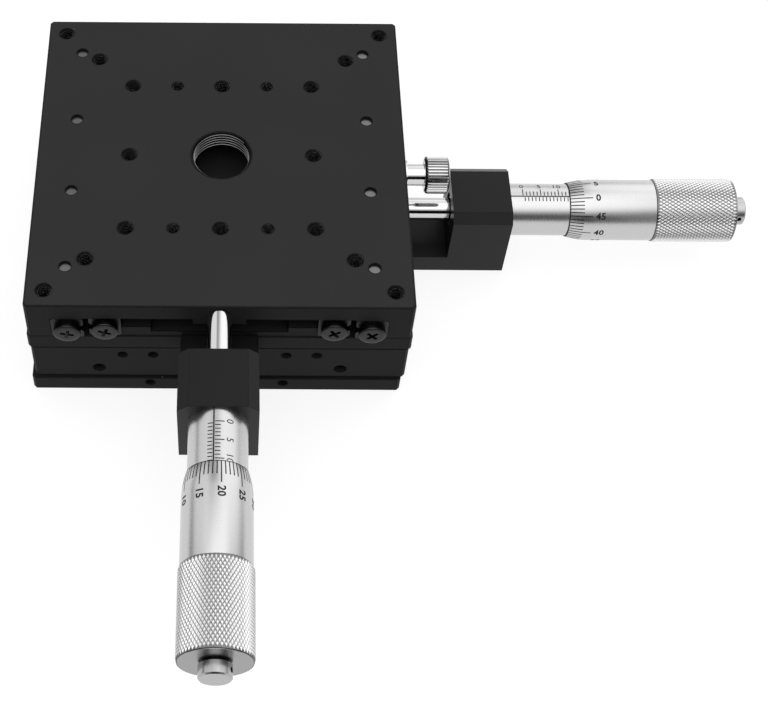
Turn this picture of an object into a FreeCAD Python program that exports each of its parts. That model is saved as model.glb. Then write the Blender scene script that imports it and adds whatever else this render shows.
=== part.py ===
import FreeCAD, Part
import math
import os
from FreeCAD import Placement, Rotation, Vector

# An x-y positioning table: two equal crossed-roller stages, the upper one turned a quarter turn
# on the lower one. Each stage is drawn once in its own frame: its table travels along Y, its
# micrometer points along -Y, and the underside of its base is z = 0. Millimetres.

os.makedirs("parts", exist_ok=True)

# Plates
table_size = 100.0
base_overhang = 0.5
stage_height = 20.0
base_edge_height = 5.5
parting_gap = 0.7
corner_chamfer = 0.8
edge_chamfer = 0.3
web_relief = 0.4
rib_height = 9.4
base_floor_height = 7.4
channel_half_width = 17.8

# Crossed-roller guides
flange_thickness = 6.5
guide_width = 18.0
rail_width = 8.3
rail_height = 8.0
rail_floor = 6.0
rail_edge_chamfer = 0.5
roller_diameter = 3.0
roller_length = 2.8
roller_clearance = 0.05
roller_count = 14
roller_pitch = 5.2
groove_relief_width = 0.8
groove_relief_depth = 0.5
cage_thickness = 0.8
cage_height = 6.6
cage_end = 3.0
cage_window_play = 0.15

# Rail screws and the stop screws in the rail ends
rail_screw_count = 4
rail_screw_from_back = 3.5
rail_screw_radius = 1.5
rail_screw_head_radius = 2.75
rail_screw_head_height = 3.0
rail_screw_short_of_top = 0.8
stop_screw_head_radius = 3.5
stop_screw_head_height = 2.0
stop_screw_length = 7.0

# Clearances that all screws and counterbores share
thread_clearance = 0.05
hole_clearance = 0.1
press_clearance = 0.025
seat_clearance = 0.25
blind_bottom = 1.0
tool_overshoot = 1.0

# Holes in the table
mount_radius = 2.0
small_mount_radius = 1.5
countersink = 0.2
centre_countersink = 0.4
inner_hole_spacing = 50.0
middle_hole_spacing = 70.0
small_hole_spacing = 25.0
corner_hole_inset = 5.0
centre_thread_radius = 8.0

# Screws through the corners of a base, and the accessory holes in the flanks
base_hole_radius = 2.25
corner_head_radius = 3.5
corner_head_height = 2.2
corner_thread_depth = 5.0
flank_hole_radius = 1.35
flank_hole_depth = 6.0
flank_hole_drop = 3.5
flank_hole_near = 17.7
flank_hole_far = 25.8
base_flank_hole_height = 3.3
base_flank_hole_offset = 18.0

# Micrometer bracket
bracket_width = 20.0
bracket_foot_height = 6.3
bracket_block_near = 15.5
bracket_block_length = 16.5
bracket_height = 24.0
bracket_chamfer_width = 2.7
bracket_chamfer_height = 2.2
tongue_length = 12.0
tongue_height = 3.2
bracket_screw_radius = 1.5
bracket_screw_head_radius = 2.9
bracket_screw_spacing = 12.0
bracket_screw_length = 6.8

# Micrometer head
stem_radius = 4.75
stem_setback = 0.5
sleeve_radius = 7.35
sleeve_reach = 36.0
sleeve_bore_radius = 5.6
stem_bore_length = 18.0
zero_line_from_bracket = 3.5
nut_length = 12.0
spindle_radius = 3.175
spindle_tip_chamfer = 0.4
running_clearance = 0.05
thimble_bore_clearance = 0.1
thimble_edge_wall = 0.15
thimble_radius = 8.6
thimble_bevel_length = 7.0
knurl_radius = 8.95
knurl_from_edge = 24.2
knurl_step = 0.35
thimble_length = 46.6
thimble_end_chamfer = 0.9
thimble_bore_depth = 40.0
spindle_seat = 3.0
cap_radius = 3.95
cap_height = 3.8
cap_chamfer = 0.4
cap_pin_hole_radius = 0.65
x_cap_turn = -76.0
y_cap_turn = 68.0

# Contact between spindle and table
contact_proud = 0.7
lug_half_width = 7.0
lug_length = 8.0
lug_wall = 1.3
contact_pin_radius = 2.5
contact_pin_cover = 1.5

# Return springs and their pins
spring_offset = 13.0
spring_radius = 2.2
spring_wire_radius = 0.35
base_pin_from_end = 20.0
table_pin_from_end = 19.0
spring_pin_radius = 1.0
spring_pin_play = 0.1
spring_pin_beyond = 2.0
spring_pin_grip = 3.6

# Lock screw, its bush and pad, and the screws that preload one rail
lock_height = 12.0
lock_shaft_radius = 3.0
lock_head_radius = 5.2
lock_head_length = 6.7
lock_head_gap = 5.8
lock_head_chamfer = 0.6
lock_bush_radius = 3.6
lock_bush_clearance = 3.0
lock_bush_flange_radius = 4.1
lock_bush_flange_height = 1.0
lock_pad_radius = 1.9
lock_pad_thickness = 1.5
lock_pad_gap = 0.12
preload_screw_radius = 1.65
preload_screw_offset = 32.4
preload_screw_recess = 1.5

# How the stages stand at rest: what each micrometer reads, and how far each table has moved
# towards its micrometer
x_reading = 13.01
y_reading = 10.68
x_table_offset = 0.9
y_table_offset = 0.6

# Worked out from the sizes above
half_table = table_size / 2
axis_height = stage_height - contact_pin_cover - contact_pin_radius
corner_hole_spacing = table_size - 2 * corner_hole_inset
rail_screw_pitch = table_size / rail_screw_count
guide_outer_half = half_table - flange_thickness
guide_centre = guide_outer_half - guide_width / 2
guide_inner_half = guide_outer_half - guide_width
rail_mid = rail_floor + rail_height / 2
rail_ceiling = rail_floor + rail_height
flange_floor = base_edge_height + parting_gap
web_floor = rail_ceiling + web_relief
groove_half = roller_diameter / 2 + roller_clearance
stop_screw_from_back = rail_width / 2
bracket_block_back = half_table + bracket_block_near
bracket_face = bracket_block_back + bracket_block_length
zero_line = bracket_face + zero_line_from_bracket
spindle_reach = half_table + contact_proud
spindle_length = zero_line + y_reading + thimble_length - spindle_seat - spindle_reach
spring_height = (base_floor_height + web_floor) / 2
spring_base_pin_y = -half_table + base_pin_from_end
spring_table_pin_y = half_table - table_pin_from_end
lock_bush_inner_end = guide_outer_half + lock_bush_clearance
sleeve_end = bracket_face + sleeve_reach
thimble_bore_radius = sleeve_radius + thimble_bore_clearance
thimble_edge_radius = thimble_bore_radius + thimble_edge_wall


def vector(x, y, z):
    return Vector(float(x), float(y), float(z))


def block(low, high):
    """A box between two opposite corners."""
    size = [b - a for a, b in zip(low, high)]
    return Part.makeBox(size[0], size[1], size[2], vector(*low))


def rod(radius, start, end):
    """A cylinder from one point on its axis to another."""
    line = vector(*end) - vector(*start)
    return Part.makeCylinder(radius, line.Length, vector(*start), line)


def cone(start_radius, end_radius, start, end):
    """A cone frustum from one point on its axis to another."""
    line = vector(*end) - vector(*start)
    return Part.makeCone(start_radius, end_radius, line.Length, vector(*start), line)


def prism_along_y(outline, length):
    """An outline of (x, z) points, extruded along Y and centred on y = 0."""
    points = [vector(x, -length / 2, z) for x, z in outline]
    face = Part.Face(Part.makePolygon(points + points[:1]))
    return face.extrude(vector(0, length, 0))


def turned(outline, height):
    """An outline of (radius, distance) points, revolved about the micrometer's axis.

    Distance is counted from the stage's centre along -Y."""
    points = [vector(radius, -distance, height) for radius, distance in outline]
    face = Part.Face(Part.makePolygon(points + points[:1]))
    return face.revolve(vector(0, 0, height), vector(0, 1, 0), 360)


def mirrored_outline(half):
    """Close an outline that is symmetric about x = 0 from its half on the +X side."""
    return half + [(-x, z) for x, z in reversed(half)]


def cut(solid, tools):
    return solid.cut(Part.makeCompound(tools)) if tools else solid


def joined(solids):
    result = solids[0].multiFuse(solids[1:]) if len(solids) > 1 else solids[0]
    return result.removeSplitter()


def flipped(solid):
    """The same solid on the other side of the plane x = 0."""
    return solid.mirror(vector(0, 0, 0), vector(1, 0, 0))


def row(count, pitch):
    """Places in a row that is centred on zero."""
    return [(number - (count - 1) / 2) * pitch for number in range(count)]


def corners(spacing_x, spacing_y):
    """The four corners of a rectangle of hole centres."""
    return [(sx * spacing_x / 2, sy * spacing_y / 2) for sx in (-1, 1) for sy in (-1, 1)]


def octagon(half_x, half_y, z):
    """A rectangle with its corners cut off, as a closed wire at height z."""
    c = corner_chamfer
    quarter = [(half_x, half_y - c), (half_x - c, half_y)]
    points = quarter + [(-x, y) for x, y in reversed(quarter)]
    points += [(-x, -y) for x, y in points]
    points = [vector(x, y, z) for x, y in points]
    return Part.makePolygon(points + points[:1])


def bevelled(plate, half_x, half_y, top):
    """Cut off a plate's upright corners and the sharp rim of its top face."""
    shoulder = top - edge_chamfer
    body = Part.Face(octagon(half_x, half_y, 0)).extrude(vector(0, 0, shoulder))
    inset = edge_chamfer
    top_wire = octagon(half_x - inset, half_y - inset, top)
    rim = Part.makeLoft([octagon(half_x, half_y, shoulder), top_wire], True)
    above = Part.Face(top_wire).extrude(vector(0, 0, stage_height))
    return plate.common(joined([body, rim, above]))


def through_hole(x, y, radius, low, high, sink=0.0):
    """An upright hole from low to high, with a countersink at its top where one is asked for."""
    tools = [rod(radius, (x, y, low), (x, y, high))]
    if sink:
        tools.append(cone(radius, radius + sink, (x, y, high - sink), (x, y, high)))
    return tools


def table_plate():
    """The moving plate: a web between two flanges, with a lug behind the contact pin."""
    half = [
        (0, stage_height),
        (half_table, stage_height),
        (half_table, flange_floor),
        (guide_outer_half, flange_floor),
        (guide_outer_half, rail_ceiling),
        (guide_centre + cage_thickness / 2, rail_ceiling),
        (guide_centre + cage_thickness / 2, web_floor),
    ]
    plate = prism_along_y(mirrored_outline(half)[1:-1], table_size)
    plate = bevelled(plate, half_table, half_table, stage_height)
    lug = block(
        (-lug_half_width, -half_table, axis_height - contact_pin_radius - lug_wall),
        (lug_half_width, -half_table + lug_length, web_floor + web_relief),
    )
    plate = joined([plate, lug])
    tools = [
        rod(
            contact_pin_radius + press_clearance,
            (0, -half_table - tool_overshoot, axis_height),
            (0, -half_table + lug_length, axis_height),
        ),
    ]
    full_depth = (rail_floor, stage_height)
    mounts = corners(inner_hole_spacing, inner_hole_spacing)
    mounts += corners(middle_hole_spacing, middle_hole_spacing)
    mounts += [(0, s * inner_hole_spacing / 2) for s in (-1, 1)]
    mounts += [(s * inner_hole_spacing / 2, 0) for s in (-1, 1)]
    for x, y in mounts:
        tools += through_hole(x, y, mount_radius, *full_depth, sink=countersink)
    corner_depth = (stage_height - corner_thread_depth, stage_height)
    for x, y in corners(corner_hole_spacing, corner_hole_spacing):
        tools += through_hole(x, y, mount_radius, *corner_depth, sink=countersink)
    for x, y in corners(small_hole_spacing, inner_hole_spacing):
        tools += through_hole(x, y, small_mount_radius, *full_depth, sink=countersink)
    for side in (-1, 1):
        for y in row(rail_screw_count, rail_screw_pitch):
            x = side * (guide_outer_half - rail_screw_from_back)
            tools += through_hole(x, y, rail_screw_radius + hole_clearance, *full_depth)
    tools += through_hole(0, 0, centre_thread_radius, *full_depth, sink=centre_countersink)
    flank_height = stage_height - flank_hole_drop
    for y in (-flank_hole_far, -flank_hole_near, flank_hole_near, flank_hole_far):
        tools.append(
            rod(
                flank_hole_radius,
                (-half_table - tool_overshoot, y, flank_height),
                (-half_table + flank_hole_depth, y, flank_height),
            )
        )
    for y in (-preload_screw_offset, preload_screw_offset):
        tools.append(
            rod(
                preload_screw_radius + thread_clearance,
                (-half_table - tool_overshoot, y, rail_mid),
                (-guide_outer_half, y, rail_mid),
            )
        )
    bush_end = lock_bush_inner_end
    tools += [
        rod(
            lock_bush_radius,
            (bush_end, 0, lock_height),
            (half_table + tool_overshoot, 0, lock_height),
        ),
        rod(
            lock_shaft_radius + hole_clearance,
            (guide_outer_half, 0, lock_height),
            (bush_end, 0, lock_height),
        ),
        rod(
            spring_pin_radius,
            (spring_offset, spring_table_pin_y, web_floor),
            (spring_offset, spring_table_pin_y, web_floor + spring_pin_grip),
        ),
        rod(
            spring_pin_radius,
            (-spring_offset, spring_table_pin_y, web_floor),
            (-spring_offset, spring_table_pin_y, web_floor + spring_pin_grip),
        ),
    ]
    return cut(plate, tools)


def base_plate():
    """The fixed plate: a slab with two ribs that back the inner rails."""
    half_width = half_table + base_overhang
    seat_edge = guide_inner_half + rail_width - web_relief
    half = [
        (half_width, 0),
        (half_width, base_edge_height),
        (seat_edge, base_edge_height),
        (seat_edge, rail_floor),
        (guide_inner_half, rail_floor),
        (guide_inner_half, rib_height),
        (channel_half_width, rib_height),
        (channel_half_width, base_floor_height),
    ]
    plate = prism_along_y(mirrored_outline(half), table_size)
    plate = bevelled(plate, half_width, half_table, base_edge_height)
    tools = [
        block(
            (-bracket_width / 2, -half_table - tool_overshoot, -tool_overshoot),
            (bracket_width / 2, -half_table + tongue_length, tongue_height),
        )
    ]
    head_seat = base_edge_height - corner_head_height - hole_clearance
    for x, y in corners(corner_hole_spacing, corner_hole_spacing):
        tools.append(rod(base_hole_radius, (x, y, -tool_overshoot), (x, y, head_seat)))
        tools.append(
            rod(corner_head_radius + seat_clearance, (x, y, head_seat), (x, y, stage_height))
        )
    for side in (-1, 1):
        x = side * (guide_inner_half + rail_screw_from_back)
        radius = rail_screw_radius + hole_clearance
        for y in row(rail_screw_count, rail_screw_pitch):
            tools.append(rod(radius, (x, y, blind_bottom), (x, y, rail_floor)))
        x = side * bracket_screw_spacing / 2
        y = -half_table + tongue_length / 2
        radius = bracket_screw_radius + thread_clearance
        tools.append(rod(radius, (x, y, tongue_height), (x, y, bracket_screw_length)))
        pin_foot = base_floor_height - spring_pin_grip
        x = side * spring_offset
        y = spring_base_pin_y
        tools.append(rod(spring_pin_radius, (x, y, pin_foot), (x, y, base_floor_height)))
        y = side * base_flank_hole_offset
        tools.append(
            rod(
                flank_hole_radius,
                (-half_width - tool_overshoot, y, base_flank_hole_height),
                (-half_width + flank_hole_depth, y, base_flank_hole_height),
            )
        )
    return cut(plate, tools)


def rail(back, facing, screw_side):
    """One guide rail at x > 0: its back at x = back, its groove towards facing (+1 or -1).

    screw_side is +1 where the counterbores open upwards and -1 where they open downwards."""
    apex = guide_width / 2 - groove_half * math.sqrt(2)
    mouth = rail_width - apex
    relief = groove_relief_width / 2
    chamfer = rail_edge_chamfer
    outline = [
        (chamfer, 0),
        (rail_width - chamfer, 0),
        (rail_width, chamfer),
        (rail_width, rail_height / 2 - mouth),
        (apex + relief, rail_height / 2 - relief),
        (apex + relief - groove_relief_depth - relief, rail_height / 2 - relief),
        (apex + relief - groove_relief_depth - relief, rail_height / 2 + relief),
        (apex + relief, rail_height / 2 + relief),
        (rail_width, rail_height / 2 + mouth),
        (rail_width, rail_height - chamfer),
        (rail_width - chamfer, rail_height),
        (chamfer, rail_height),
        (0, rail_height - chamfer),
        (0, chamfer),
    ]
    body = prism_along_y([(back + facing * u, rail_floor + z) for u, z in outline], table_size)
    x = back + facing * rail_screw_from_back
    open_end = rail_ceiling if screw_side > 0 else rail_floor
    seat = open_end - screw_side * (rail_screw_head_height + hole_clearance)
    tools = []
    for y in row(rail_screw_count, rail_screw_pitch):
        shank_hole = rod(rail_screw_radius + hole_clearance, (x, y, rail_floor), (x, y, rail_ceiling))
        tools.append(shank_hole)
        tools.append(rod(rail_screw_head_radius + seat_clearance, (x, y, seat), (x, y, open_end)))
    x = back + facing * stop_screw_from_back
    for end in (-1, 1):
        tools.append(
            rod(
                rail_screw_radius + thread_clearance,
                (x, end * half_table, rail_mid),
                (x, end * (half_table - stop_screw_length - blind_bottom), rail_mid),
            )
        )
    return cut(body, tools)


def rail_screws(back, facing, screw_side, reach):
    """The four screws of one rail, heads in its counterbores and tips at height reach."""
    x = back + facing * rail_screw_from_back
    open_end = rail_ceiling if screw_side > 0 else rail_floor
    seat = open_end - screw_side * (rail_screw_head_height + hole_clearance)
    screws = []
    for y in row(rail_screw_count, rail_screw_pitch):
        head_top = seat + screw_side * rail_screw_head_height
        head = rod(rail_screw_head_radius, (x, y, seat), (x, y, head_top))
        screws.append(joined([head, rod(rail_screw_radius, (x, y, seat), (x, y, reach))]))
    return screws


def stop_screws(back, facing):
    """The screws in both ends of one rail, whose heads keep the roller cage in."""
    x = back + facing * stop_screw_from_back
    screws = []
    for end in (-1, 1):
        face = (x, end * half_table, rail_mid)
        head_end = (x, end * (half_table + stop_screw_head_height), rail_mid)
        head = rod(stop_screw_head_radius, face, head_end)
        shank = rod(rail_screw_radius, face, (x, end * (half_table - stop_screw_length), rail_mid))
        screws.append(joined([head, shank]))
    return screws


def rollers():
    """The rollers of the guide at x > 0, each one crossed to the one before it."""
    reach = roller_length / 2 / math.sqrt(2)
    result = []
    for number, y in enumerate(row(roller_count, roller_pitch)):
        lean = reach if number % 2 else -reach
        result.append(
            rod(
                roller_diameter / 2,
                (guide_centre - lean, y, rail_mid - reach),
                (guide_centre + lean, y, rail_mid + reach),
            )
        )
    return result


def roller_cage():
    """The strip that keeps the rollers of the guide at x > 0 apart."""
    places = row(roller_count, roller_pitch)
    half_length = places[-1] + roller_diameter / 2 + cage_end
    half_window = roller_diameter / 2 + cage_window_play
    window_height = (roller_length + roller_diameter) / math.sqrt(2) / 2 + cage_window_play
    strip = block(
        (guide_centre - cage_thickness / 2, -half_length, rail_mid - cage_height / 2),
        (guide_centre + cage_thickness / 2, half_length, rail_mid + cage_height / 2),
    )
    windows = [
        block(
            (guide_centre - cage_thickness, y - half_window, rail_mid - window_height),
            (guide_centre + cage_thickness, y + half_window, rail_mid + window_height),
        )
        for y in places
    ]
    return cut(strip, windows)


def bracket():
    """The L-shaped bracket: a tongue under the base, a foot and a block bored for the stem."""
    half = bracket_width / 2
    outline = [
        (-half_table + tongue_length, 0),
        (-half_table + tongue_length, tongue_height),
        (-half_table, tongue_height),
        (-half_table, bracket_foot_height),
        (-bracket_block_back, bracket_foot_height),
        (-bracket_block_back, bracket_height),
        (-bracket_face, bracket_height),
        (-bracket_face, 0),
    ]
    points = [vector(-half, y, z) for y, z in outline]
    body = Part.Face(Part.makePolygon(points + points[:1])).extrude(vector(bracket_width, 0, 0))
    section = [
        (half, 0),
        (half, bracket_height - bracket_chamfer_height),
        (half - bracket_chamfer_width, bracket_height),
    ]
    body = body.common(prism_along_y(mirrored_outline(section), 2 * bracket_face + tool_overshoot))
    clamp_y = -(bracket_block_back + bracket_face) / 2
    tools = [
        rod(
            stem_radius,
            (0, -bracket_block_back + tool_overshoot, axis_height),
            (0, -bracket_face - tool_overshoot, axis_height),
        ),
        rod(
            bracket_screw_radius + thread_clearance,
            (0, clamp_y, -tool_overshoot),
            (0, clamp_y, axis_height),
        ),
    ]
    y = -half_table + tongue_length / 2
    for side in (-1, 1):
        x = side * bracket_screw_spacing / 2
        radius = bracket_screw_radius + hole_clearance
        tools.append(rod(radius, (x, y, -tool_overshoot), (x, y, tongue_height + tool_overshoot)))
        sink = bracket_screw_head_radius - bracket_screw_radius
        tools.append(
            cone(
                bracket_screw_head_radius + hole_clearance,
                radius,
                (x, y, 0),
                (x, y, sink),
            )
        )
    return cut(body, tools)


def bracket_screws():
    """Two countersunk screws that come up through the tongue into the base."""
    y = -half_table + tongue_length / 2
    sink = bracket_screw_head_radius - bracket_screw_radius
    screws = []
    for side in (-1, 1):
        x = side * bracket_screw_spacing / 2
        head = cone(bracket_screw_head_radius, bracket_screw_radius, (x, y, 0), (x, y, sink))
        shank = rod(bracket_screw_radius, (x, y, sink), (x, y, bracket_screw_length))
        screws.append(joined([head, shank]))
    return screws


def stem_clamp_screw():
    """The set screw that comes up under the block and holds the stem."""
    y = -(bracket_block_back + bracket_face) / 2
    return rod(bracket_screw_radius, (0, y, blind_bottom), (0, y, axis_height - stem_radius))


def sleeve():
    """The micrometer's fixed barrel: a stem in the bracket and the graduated sleeve before it."""
    bore = spindle_radius + running_clearance
    stem_start = bracket_block_back + stem_setback
    bore_end = stem_start + stem_bore_length
    outline = [
        (bore, stem_start),
        (stem_radius, stem_start),
        (stem_radius, bracket_face),
        (sleeve_radius, bracket_face),
        (sleeve_radius, sleeve_end),
        (sleeve_bore_radius, sleeve_end),
        (sleeve_bore_radius, bore_end),
        (bore, bore_end),
    ]
    return turned(outline, axis_height)


def spindle_nut():
    """The nut at the sleeve's outer end that the spindle's screw runs in."""
    bore = spindle_radius + running_clearance
    outline = [
        (bore, sleeve_end - nut_length),
        (sleeve_bore_radius, sleeve_end - nut_length),
        (sleeve_bore_radius, sleeve_end),
        (bore, sleeve_end),
    ]
    return turned(outline, axis_height)


def spindle_tip(reading):
    """How far from the stage's centre the spindle's tip stands at a reading."""
    return zero_line + reading + thimble_length - spindle_seat - spindle_length


def spindle(reading):
    """The spindle, from its tip at the contact pin to its seat in the thimble."""
    tip = spindle_tip(reading)
    outline = [
        (0, tip),
        (spindle_radius - spindle_tip_chamfer, tip),
        (spindle_radius, tip + spindle_tip_chamfer),
        (spindle_radius, tip + spindle_length),
        (0, tip + spindle_length),
    ]
    return turned(outline, axis_height)


def thimble(reading):
    """The turning thimble: a bevelled graduated edge, a plain barrel and a raised grip."""
    edge = zero_line + reading
    end = edge + thimble_length
    seat = spindle_radius
    outline = [
        (thimble_bore_radius, edge),
        (thimble_edge_radius, edge),
        (thimble_radius, edge + thimble_bevel_length),
        (thimble_radius, edge + knurl_from_edge - knurl_step),
        (knurl_radius, edge + knurl_from_edge),
        (knurl_radius, end - thimble_end_chamfer),
        (knurl_radius - thimble_end_chamfer, end),
        (seat, end),
        (seat, edge + thimble_bore_depth),
        (thimble_bore_radius, edge + thimble_bore_depth),
    ]
    return turned(outline, axis_height)


def thimble_cap(reading, turn):
    """The button that closes the thimble, with a cross hole for a pin spanner.

    turn is the hole's angle from upright towards +X, in degrees."""
    end = zero_line + reading + thimble_length
    outline = [
        (0, end - spindle_seat),
        (spindle_radius, end - spindle_seat),
        (spindle_radius, end),
        (cap_radius, end),
        (cap_radius, end + cap_height - cap_chamfer),
        (cap_radius - cap_chamfer, end + cap_height),
        (0, end + cap_height),
    ]
    middle = -(end + cap_height / 2)
    across = (cap_radius + tool_overshoot) * math.sin(math.radians(turn))
    rise = (cap_radius + tool_overshoot) * math.cos(math.radians(turn))
    hole = rod(
        cap_pin_hole_radius,
        (-across, middle, axis_height - rise),
        (across, middle, axis_height + rise),
    )
    return turned(outline, axis_height).cut(hole)


def contact_pin(reading, table_offset):
    """The hard pin through the table's lug, set out to meet the spindle's tip."""
    face = table_offset - spindle_tip(reading)
    return rod(contact_pin_radius, (0, face, axis_height), (0, -half_table + lug_length, axis_height))


def spring_pins(on_table):
    """The two pins that hold one end of each return spring."""
    y = spring_table_pin_y if on_table else spring_base_pin_y
    if on_table:
        low, high = spring_height - spring_pin_beyond, web_floor + spring_pin_grip
    else:
        low, high = base_floor_height - spring_pin_grip, spring_height + spring_pin_beyond
    places = (-spring_offset, spring_offset)
    return [rod(spring_pin_radius, (x, y, low), (x, y, high)) for x in places]


def return_springs(table_offset):
    """Two tension springs from the base to the table: a closed coil with a ring at each end."""
    ring = spring_pin_radius + spring_pin_play + spring_wire_radius
    start = spring_base_pin_y
    end = spring_table_pin_y - table_offset
    springs = []
    for side in (-1, 1):
        x = side * spring_offset
        coil = rod(
            spring_radius,
            (x, start + ring + spring_wire_radius / 2, spring_height),
            (x, end - ring - spring_wire_radius / 2, spring_height),
        )
        rings = [
            Part.makeTorus(ring, spring_wire_radius, vector(x, y, spring_height)) for y in (start, end)
        ]
        springs.append(joined([coil] + rings))
    return springs


def lock_parts():
    """The lock screw, the bush that it turns in and the pad that it pushes on the rail."""
    z = lock_height
    bush_inner = lock_bush_inner_end
    flange_out = half_table + lock_bush_flange_height
    shell = joined(
        [
            rod(lock_bush_radius, (bush_inner, 0, z), (half_table, 0, z)),
            rod(lock_bush_flange_radius, (half_table, 0, z), (flange_out, 0, z)),
        ]
    )
    bush = shell.cut(
        rod(
            lock_shaft_radius + running_clearance,
            (bush_inner - tool_overshoot, 0, z),
            (flange_out + tool_overshoot, 0, z),
        )
    )
    pad_inner = guide_outer_half + lock_pad_gap
    pad = rod(lock_pad_radius, (pad_inner, 0, z), (pad_inner + lock_pad_thickness, 0, z))
    head_start = half_table + lock_head_gap
    head_end = head_start + lock_head_length
    screw = joined(
        [
            rod(lock_shaft_radius, (pad_inner + lock_pad_thickness, 0, z), (head_start, 0, z)),
            cone(
                lock_head_radius - lock_head_chamfer,
                lock_head_radius,
                (head_start, 0, z),
                (head_start + lock_head_chamfer, 0, z),
            ),
            rod(
                lock_head_radius,
                (head_start + lock_head_chamfer, 0, z),
                (head_end - lock_head_chamfer, 0, z),
            ),
            cone(
                lock_head_radius,
                lock_head_radius - lock_head_chamfer,
                (head_end - lock_head_chamfer, 0, z),
                (head_end, 0, z),
            ),
        ]
    )
    return bush, pad, screw


def preload_screws():
    """The set screws in the other flange, against the back of the rail that takes up play."""
    outer = -half_table + preload_screw_recess
    return [
        rod(preload_screw_radius, (outer, y, rail_mid), (-guide_outer_half, y, rail_mid))
        for y in (-preload_screw_offset, preload_screw_offset)
    ]


def joining_screws():
    """The four screws that hold the upper base on the lower table, in the upper stage's frame."""
    head_seat = base_edge_height - corner_head_height - hole_clearance
    screws = []
    for x, y in corners(corner_hole_spacing, corner_hole_spacing):
        head = rod(corner_head_radius, (x, y, head_seat), (x, y, head_seat + corner_head_height))
        shank = rod(mount_radius - thread_clearance, (x, y, -corner_thread_depth), (x, y, head_seat))
        screws.append(joined([head, shank]))
    return screws


def stage_pieces(reading, cap_turn, table_offset):
    """Every piece of one stage, by name. table_offset is how far its table stands towards -Y."""
    base_back, table_back = guide_inner_half, guide_outer_half
    fixed = {
        "base_plate": [base_plate()],
        "base_rail_right": [rail(base_back, 1, 1)],
        "base_rail_left": [flipped(rail(base_back, 1, 1))],
        "bracket": [bracket()],
        "bracket_screws": bracket_screws(),
        "stem_clamp_screw": [stem_clamp_screw()],
        "sleeve": [sleeve()],
        "spindle_nut": [spindle_nut()],
        "base_spring_pins": spring_pins(False),
        "return_springs": return_springs(table_offset),
    }
    base_screws = rail_screws(base_back, 1, 1, blind_bottom + hole_clearance)
    fixed["base_rail_screws"] = base_screws + [flipped(screw) for screw in base_screws]
    base_stops = stop_screws(base_back, 1)
    fixed["base_stop_screws"] = base_stops + [flipped(screw) for screw in base_stops]

    bush, pad, lock_screw = lock_parts()
    moving = {
        "table_plate": [table_plate()],
        "table_rail_right": [rail(table_back, -1, -1)],
        "table_rail_left": [flipped(rail(table_back, -1, -1))],
        "contact_pin": [contact_pin(reading, table_offset)],
        "table_spring_pins": spring_pins(True),
        "lock_bush": [bush],
        "lock_pad": [pad],
        "lock_screw": [lock_screw],
        "preload_screws": preload_screws(),
    }
    table_screws = rail_screws(table_back, -1, -1, stage_height - rail_screw_short_of_top)
    moving["table_rail_screws"] = table_screws + [flipped(screw) for screw in table_screws]
    table_stops = stop_screws(table_back, -1)
    moving["table_stop_screws"] = table_stops + [flipped(screw) for screw in table_stops]

    halfway = {
        "roller_cage_right": [roller_cage()],
        "roller_cage_left": [flipped(roller_cage())],
        "rollers": rollers() + [flipped(roller) for roller in rollers()],
    }
    turning = {
        "spindle": [spindle(reading)],
        "thimble": [thimble(reading)],
        "thimble_cap": [thimble_cap(reading, cap_turn)],
    }
    shifts = ((fixed, 0), (moving, table_offset), (halfway, table_offset / 2), (turning, 0))
    pieces = {}
    for group, shift in shifts:
        for name, solids in group.items():
            pieces[name] = [solid.translated(vector(0, -shift, 0)) for solid in solids]
    return pieces


def export(node, solids, placement):
    placed = [solid.copy().transformShape(placement.toMatrix(), True) for solid in solids]
    shape = placed[0] if len(placed) == 1 else Part.makeCompound(placed)
    shape.exportStep("parts/" + node + ".step")
    volume = sum(solid.Volume for solid in placed)
    print(f"{node:24s} {len(placed):3d} solids {volume:10.1f} mm3")


lower = Placement(vector(0, 0, 0), Rotation(vector(0, 0, 1), 90))
upper = Placement(vector(x_table_offset, 0, stage_height), Rotation())

for name, solids in stage_pieces(x_reading, x_cap_turn, x_table_offset).items():
    export("x_" + name, solids, lower)
for name, solids in stage_pieces(y_reading, y_cap_turn, y_table_offset).items():
    export("y_" + name, solids, upper)
export("stage_joining_screws", joining_screws(), upper)
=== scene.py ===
import bpy
import bmesh
import math
from mathutils import Matrix, Vector


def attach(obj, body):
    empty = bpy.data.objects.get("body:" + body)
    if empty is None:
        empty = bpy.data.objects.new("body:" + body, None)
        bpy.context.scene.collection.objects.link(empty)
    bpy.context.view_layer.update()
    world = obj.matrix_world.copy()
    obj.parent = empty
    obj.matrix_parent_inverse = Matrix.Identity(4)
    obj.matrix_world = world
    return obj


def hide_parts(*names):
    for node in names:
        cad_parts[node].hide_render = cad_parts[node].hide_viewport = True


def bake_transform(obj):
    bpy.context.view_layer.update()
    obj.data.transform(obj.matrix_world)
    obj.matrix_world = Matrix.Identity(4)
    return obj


# An x-y positioning table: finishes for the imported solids, and the pieces that only show up close.
# Dictionaries are in millimetres and degrees. A mesh becomes metres when it is placed.

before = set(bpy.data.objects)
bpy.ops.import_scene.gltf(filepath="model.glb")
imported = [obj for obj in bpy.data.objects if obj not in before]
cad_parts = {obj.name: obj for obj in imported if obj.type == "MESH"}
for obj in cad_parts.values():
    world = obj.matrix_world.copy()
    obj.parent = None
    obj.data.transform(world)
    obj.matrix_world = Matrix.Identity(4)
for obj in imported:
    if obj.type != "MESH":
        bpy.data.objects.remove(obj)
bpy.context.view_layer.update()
mm = 0.001
print("frame loaded:", len(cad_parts), "nodes")

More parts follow.
